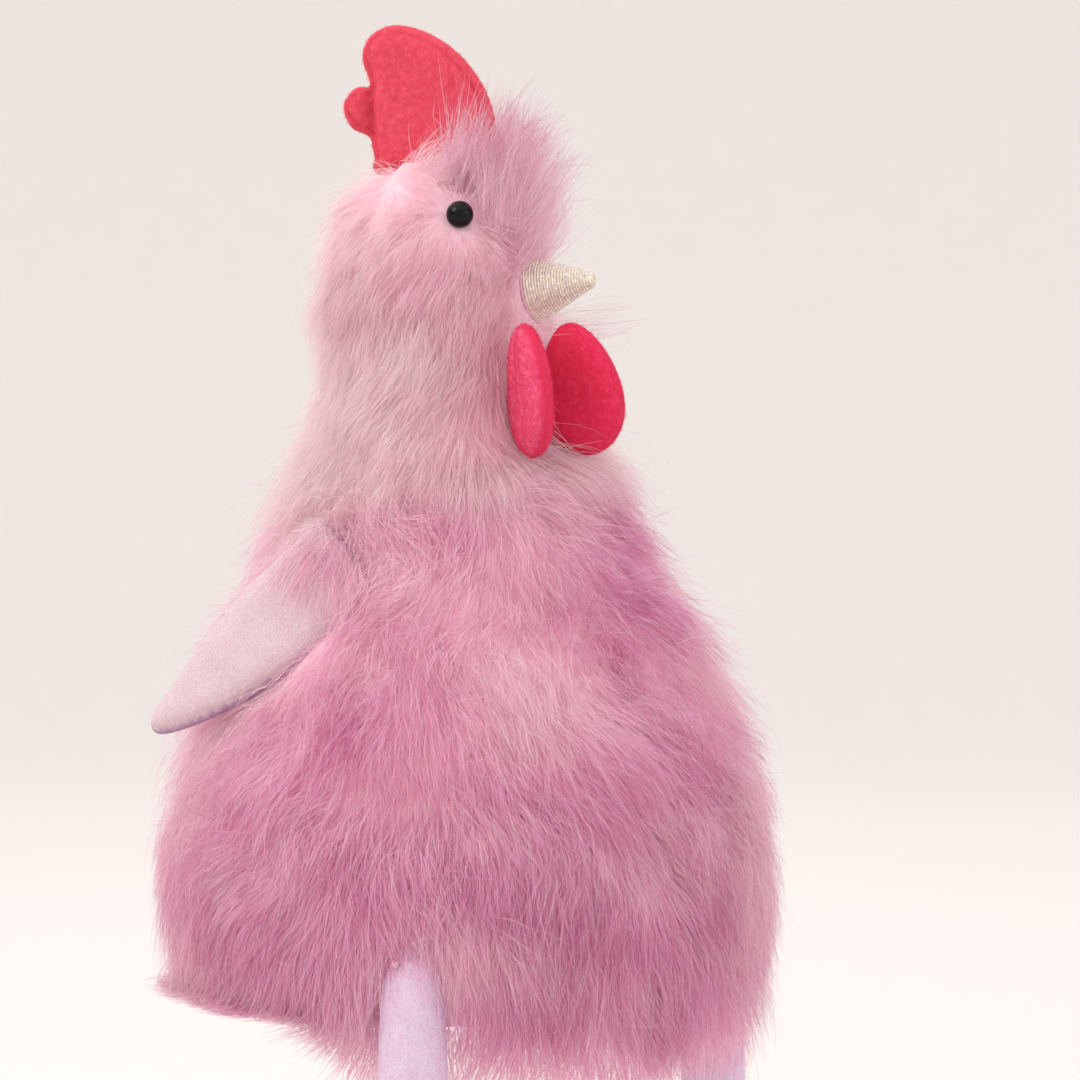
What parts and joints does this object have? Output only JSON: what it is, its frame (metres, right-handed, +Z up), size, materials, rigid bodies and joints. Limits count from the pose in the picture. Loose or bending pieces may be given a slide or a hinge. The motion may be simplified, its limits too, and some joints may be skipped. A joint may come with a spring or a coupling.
{
  "type": "plush hen",
  "caption": "Long-pile plush hen that sits on a shelf edge: turning head, velvet comb and swinging wattles, lifting felt wings, and felt legs and feet that hang and swing.",
  "frame": {"origin": "centre of the flat seat panel", "axes": "+Z up; the hen faces -Y, and its left is +X"},
  "size_m": [0.232, 0.2197, 0.5252],
  "materials": {
    "body_fur": "long soft pile",
    "head_fur": "long soft pile",
    "thread": "matte",
    "stuffing": "matte",
    "comb_velvet": "velvet",
    "wattle_velvet": "velvet",
    "wing_felt": "brushed felt",
    "leg_felt": "brushed felt",
    "foot_felt": "brushed felt",
    "seat_cloth": "matte",
    "pellet_bag": "matte",
    "pellets": "matte",
    "washer_plastic": "matte",
    "eye_plastic": "gloss",
    "beak_cord": "metallic cord"
  },
  "bodies": {
    "torso": {"body_fur_left": "body_fur", "body_fur_right": "body_fur", "seat_panel": "seat_cloth", "body_stuffing": "stuffing", "pellet_bag": "pellet_bag", "pellets": "pellets", "wing_left_thread": "thread", "wing_right_thread": "thread", "hip_thread_left": "thread", "hip_thread_right": "thread"},
    "head": {"head_fur_left": "head_fur", "head_fur_right": "head_fur", "head_stuffing": "stuffing", "eye_left": "eye_plastic", "eye_right": "eye_plastic", "eye_washer_left": "washer_plastic", "eye_washer_right": "washer_plastic", "beak_cover": "beak_cord", "beak_stuffing": "stuffing", "beak_stitching": "thread", "comb_thread": "thread", "wattle_left_thread": "thread", "wattle_right_thread": "thread"},
    "comb": {"comb_panel_left": "comb_velvet", "comb_panel_right": "comb_velvet", "comb_stuffing": "stuffing"},
    "wattle_left": {"wattle_left_outer": "wattle_velvet", "wattle_left_inner": "wattle_velvet", "wattle_left_stuffing": "stuffing"},
    "wing_left": {"wing_left_outer": "wing_felt", "wing_left_inner": "wing_felt", "wing_left_stuffing": "stuffing"},
    "leg_left": {"leg_left_cover": "leg_felt", "leg_left_stuffing": "stuffing", "ankle_thread_left": "thread"},
    "foot_left": {"foot_left_upper": "foot_felt", "foot_left_sole": "foot_felt", "foot_left_stuffing": "stuffing"},
    "wattle_right": {"wattle_right_outer": "wattle_velvet", "wattle_right_inner": "wattle_velvet", "wattle_right_stuffing": "stuffing"},
    "wing_right": {"wing_right_outer": "wing_felt", "wing_right_inner": "wing_felt", "wing_right_stuffing": "stuffing"},
    "leg_right": {"leg_right_cover": "leg_felt", "leg_right_stuffing": "stuffing", "ankle_thread_right": "thread"},
    "foot_right": {"foot_right_upper": "foot_felt", "foot_right_sole": "foot_felt", "foot_right_stuffing": "stuffing"}
  },
  "joints": [
    {"name": "neck_turn", "type": "hinge", "parent": "torso", "child": "head", "pos_m": [0, 0.01197, 0.18663], "axis": [0, 0.061, 0.9981], "range_deg": [-47.5, 12.5]},
    {"name": "comb_bend", "type": "hinge", "parent": "head", "child": "comb", "pos_m": [0, 0.01935, 0.30741], "axis": [0.3007, -0.9519, 0.0582], "range_deg": [-20, 20], "stiffness_Nm_per_rad": 0.02},
    {"name": "wattle_left_swing", "type": "hinge", "parent": "head", "child": "wattle_left", "pos_m": [0.004, -0.04064, 0.24234], "axis": [-0.9563, -0.2918, 0.0178], "range_deg": [0, 45]},
    {"name": "wattle_right_swing", "type": "hinge", "parent": "head", "child": "wattle_right", "pos_m": [-0.01925, -0.03738, 0.24214], "axis": [-0.8387, 0.5436, -0.0332], "range_deg": [0, 45]},
    {"name": "wing_left_lift", "type": "hinge", "parent": "torso", "child": "wing_left", "pos_m": [0.0645, 0.007, 0.164], "axis": [-0.0047, -0.7144, -0.6998], "range_deg": [-6, 60], "stiffness_Nm_per_rad": 0.05},
    {"name": "wing_right_lift", "type": "hinge", "parent": "torso", "child": "wing_right", "pos_m": [-0.0645, 0.007, 0.164], "axis": [-0.0047, 0.7144, 0.6998], "range_deg": [-6, 60], "stiffness_Nm_per_rad": 0.05},
    {"name": "hip_left_swing", "type": "hinge", "parent": "torso", "child": "leg_left", "pos_m": [0.092, -0.044, 0.025], "axis": [-1, 0, 0], "range_deg": [-4, 90]},
    {"name": "ankle_left_swing", "type": "hinge", "parent": "leg_left", "child": "foot_left", "pos_m": [0.092, -0.044, -0.15], "axis": [-1, 0, 0], "range_deg": [-30, 30]},
    {"name": "hip_right_swing", "type": "hinge", "parent": "torso", "child": "leg_right", "pos_m": [-0.092, -0.044, 0.025], "axis": [-1, 0, 0], "range_deg": [-4, 90]},
    {"name": "ankle_right_swing", "type": "hinge", "parent": "leg_right", "child": "foot_right", "pos_m": [-0.092, -0.044, -0.15], "axis": [-1, 0, 0], "range_deg": [-30, 30]}
  ]
}
